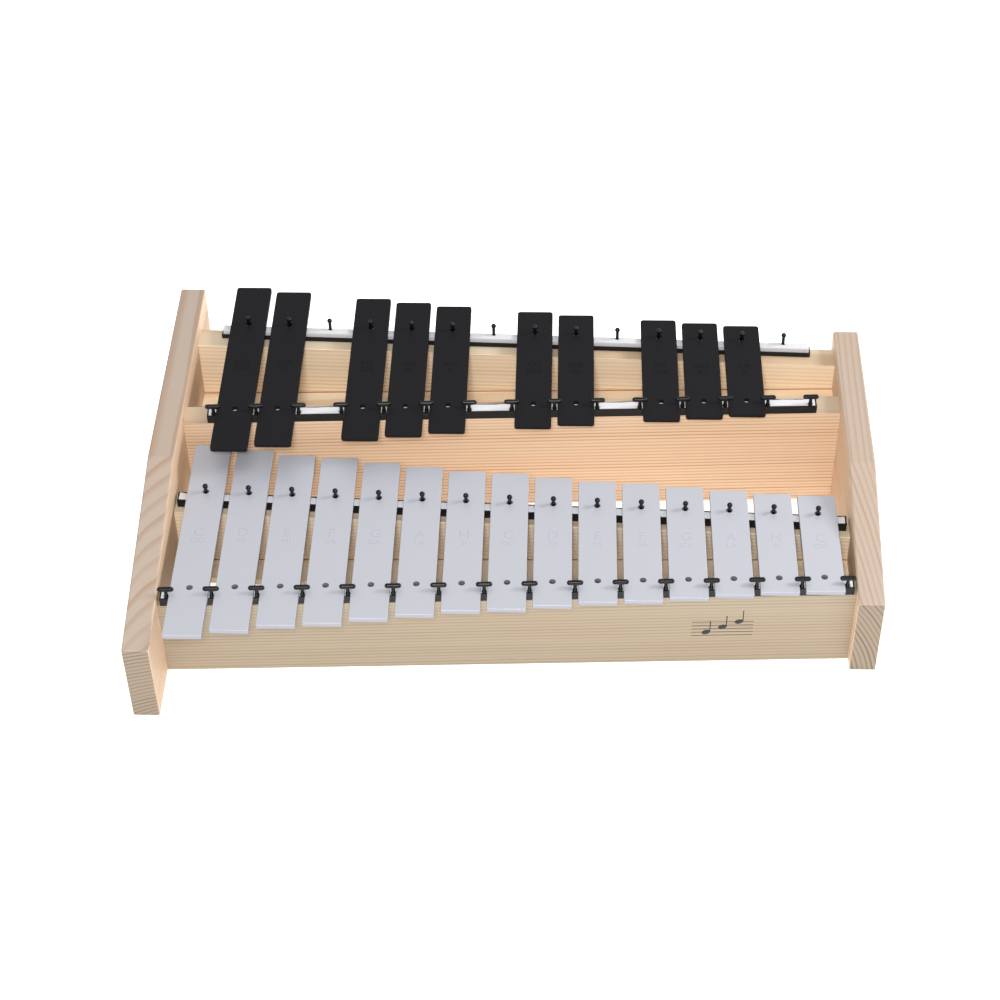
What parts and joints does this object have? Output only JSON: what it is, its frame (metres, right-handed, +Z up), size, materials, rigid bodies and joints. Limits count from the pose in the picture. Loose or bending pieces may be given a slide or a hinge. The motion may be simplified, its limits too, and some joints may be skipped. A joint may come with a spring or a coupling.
{
  "type": "glockenspiel",
  "caption": "Chromatic tabletop glockenspiel: two rows of flat metal bars lie on felt strips over wooden sound boxes, held by guide pins and T-headed posts.",
  "frame": {"origin": "middle of the instrument's bounding rectangle on the surface it stands on: halfway between the outer faces of the side boards, and halfway from the bass board's front end to the rear end of the longest black bar", "axes": "+X from the bass end to the treble end (the player's right), +Y away from the player, +Z up"},
  "size_m": [0.4844, 0.3264, 0.0982],
  "materials": {
    "silver_bars": "satin anodised",
    "black_bars": "matt black",
    "rail": "clear matt lacquer on pine",
    "side_board": "clear matt lacquer on pine",
    "floor_board": "bare plywood",
    "dowel": "bare beech",
    "felt": "pressed wool felt",
    "channel": "matt",
    "pins_and_posts": "matt moulded"
  },
  "bodies": {
    "frame": {"bass_side_board": "side_board", "treble_side_board": "side_board", "frame_dowels": "dowel", "natural_front_rail": "rail", "natural_rear_rail": "rail", "accidental_front_rail": "rail", "accidental_rear_rail": "rail", "natural_sound_box_floor": "floor_board", "accidental_sound_box_floor": "floor_board", "natural_front_channel": "channel", "natural_front_felt": "felt", "natural_rear_channel": "channel", "natural_rear_felt": "felt", "natural_guide_pins": "pins_and_posts", "natural_hold_down_posts": "pins_and_posts", "accidental_front_channel": "channel", "accidental_front_felt": "felt", "accidental_rear_channel": "channel", "accidental_rear_felt": "felt", "accidental_guide_pins": "pins_and_posts", "accidental_hold_down_posts": "pins_and_posts"},
    "bar_c5": {"bar_c5": "silver_bars"},
    "bar_d5": {"bar_d5": "silver_bars"},
    "bar_e5": {"bar_e5": "silver_bars"},
    "bar_f5": {"bar_f5": "silver_bars"},
    "bar_g5": {"bar_g5": "silver_bars"},
    "bar_a5": {"bar_a5": "silver_bars"},
    "bar_b5": {"bar_b5": "silver_bars"},
    "bar_cs5": {"bar_cs5": "black_bars"},
    "bar_ds5": {"bar_ds5": "black_bars"},
    "bar_fs5": {"bar_fs5": "black_bars"},
    "bar_gs5": {"bar_gs5": "black_bars"},
    "bar_as5": {"bar_as5": "black_bars"},
    "bar_c6": {"bar_c6": "silver_bars"},
    "bar_d6": {"bar_d6": "silver_bars"},
    "bar_e6": {"bar_e6": "silver_bars"},
    "bar_f6": {"bar_f6": "silver_bars"},
    "bar_g6": {"bar_g6": "silver_bars"},
    "bar_a6": {"bar_a6": "silver_bars"},
    "bar_b6": {"bar_b6": "silver_bars"},
    "bar_cs6": {"bar_cs6": "black_bars"},
    "bar_ds6": {"bar_ds6": "black_bars"},
    "bar_fs6": {"bar_fs6": "black_bars"},
    "bar_gs6": {"bar_gs6": "black_bars"},
    "bar_as6": {"bar_as6": "black_bars"},
    "bar_c7": {"bar_c7": "silver_bars"}
  },
  "joints": [
    {"name": "lift_c5", "type": "hinge", "parent": "frame", "child": "bar_c5", "pos_m": [-0.2037, -0.12249, 0.0735], "axis": [1, 0, 0], "range_deg": [0, 6]},
    {"name": "lift_d5", "type": "hinge", "parent": "frame", "child": "bar_d5", "pos_m": [-0.1746, -0.12141, 0.0735], "axis": [1, 0, 0], "range_deg": [0, 6.2]},
    {"name": "lift_e5", "type": "hinge", "parent": "frame", "child": "bar_e5", "pos_m": [-0.1455, -0.12033, 0.0735], "axis": [1, 0, 0], "range_deg": [0, 6.3]},
    {"name": "lift_f5", "type": "hinge", "parent": "frame", "child": "bar_f5", "pos_m": [-0.1164, -0.11926, 0.0735], "axis": [1, 0, 0], "range_deg": [0, 6.2]},
    {"name": "lift_g5", "type": "hinge", "parent": "frame", "child": "bar_g5", "pos_m": [-0.0873, -0.11818, 0.0735], "axis": [1, 0, 0], "range_deg": [0, 6.6]},
    {"name": "lift_a5", "type": "hinge", "parent": "frame", "child": "bar_a5", "pos_m": [-0.0582, -0.1171, 0.0735], "axis": [1, 0, 0], "range_deg": [0, 6.8]},
    {"name": "lift_b5", "type": "hinge", "parent": "frame", "child": "bar_b5", "pos_m": [-0.0291, -0.11602, 0.0735], "axis": [1, 0, 0], "range_deg": [0, 7]},
    {"name": "lift_cs5", "type": "hinge", "parent": "frame", "child": "bar_cs5", "pos_m": [-0.18915, 0.02925, 0.0935], "axis": [1, 0, 0], "range_deg": [0, 6.1]},
    {"name": "lift_ds5", "type": "hinge", "parent": "frame", "child": "bar_ds5", "pos_m": [-0.16005, 0.03032, 0.0935], "axis": [1, 0, 0], "range_deg": [0, 6.3]},
    {"name": "lift_fs5", "type": "hinge", "parent": "frame", "child": "bar_fs5", "pos_m": [-0.10185, 0.03248, 0.0935], "axis": [1, 0, 0], "range_deg": [0, 6.6]},
    {"name": "lift_gs5", "type": "hinge", "parent": "frame", "child": "bar_gs5", "pos_m": [-0.07275, 0.03356, 0.0935], "axis": [1, 0, 0], "range_deg": [0, 6.7]},
    {"name": "lift_as5", "type": "hinge", "parent": "frame", "child": "bar_as5", "pos_m": [-0.04365, 0.03464, 0.0935], "axis": [1, 0, 0], "range_deg": [0, 6.9]},
    {"name": "lift_c6", "type": "hinge", "parent": "frame", "child": "bar_c6", "pos_m": [0, -0.11494, 0.0735], "axis": [1, 0, 0], "range_deg": [0, 7.2]},
    {"name": "lift_d6", "type": "hinge", "parent": "frame", "child": "bar_d6", "pos_m": [0.0291, -0.11387, 0.0735], "axis": [1, 0, 0], "range_deg": [0, 7.4]},
    {"name": "lift_e6", "type": "hinge", "parent": "frame", "child": "bar_e6", "pos_m": [0.0582, -0.11279, 0.0735], "axis": [1, 0, 0], "range_deg": [0, 7.6]},
    {"name": "lift_f6", "type": "hinge", "parent": "frame", "child": "bar_f6", "pos_m": [0.0873, -0.11171, 0.0735], "axis": [1, 0, 0], "range_deg": [0, 7.8]},
    {"name": "lift_g6", "type": "hinge", "parent": "frame", "child": "bar_g6", "pos_m": [0.1164, -0.11064, 0.0735], "axis": [1, 0, 0], "range_deg": [0, 8.1]},
    {"name": "lift_a6", "type": "hinge", "parent": "frame", "child": "bar_a6", "pos_m": [0.1455, -0.10956, 0.0735], "axis": [1, 0, 0], "range_deg": [0, 8.3]},
    {"name": "lift_b6", "type": "hinge", "parent": "frame", "child": "bar_b6", "pos_m": [0.1746, -0.10849, 0.0735], "axis": [1, 0, 0], "range_deg": [0, 8.6]},
    {"name": "lift_cs6", "type": "hinge", "parent": "frame", "child": "bar_cs6", "pos_m": [0.01455, 0.0368, 0.0935], "axis": [1, 0, 0], "range_deg": [0, 7.3]},
    {"name": "lift_ds6", "type": "hinge", "parent": "frame", "child": "bar_ds6", "pos_m": [0.04365, 0.03787, 0.0935], "axis": [1, 0, 0], "range_deg": [0, 7.5]},
    {"name": "lift_fs6", "type": "hinge", "parent": "frame", "child": "bar_fs6", "pos_m": [0.10185, 0.04002, 0.0935], "axis": [1, 0, 0], "range_deg": [0, 8]},
    {"name": "lift_gs6", "type": "hinge", "parent": "frame", "child": "bar_gs6", "pos_m": [0.13095, 0.0411, 0.0935], "axis": [1, 0, 0], "range_deg": [0, 8.2]},
    {"name": "lift_as6", "type": "hinge", "parent": "frame", "child": "bar_as6", "pos_m": [0.16005, 0.04217, 0.0935], "axis": [1, 0, 0], "range_deg": [0, 8.5]},
    {"name": "lift_c7", "type": "hinge", "parent": "frame", "child": "bar_c7", "pos_m": [0.2037, -0.10742, 0.0735], "axis": [1, 0, 0], "range_deg": [0, 8.9]}
  ]
}
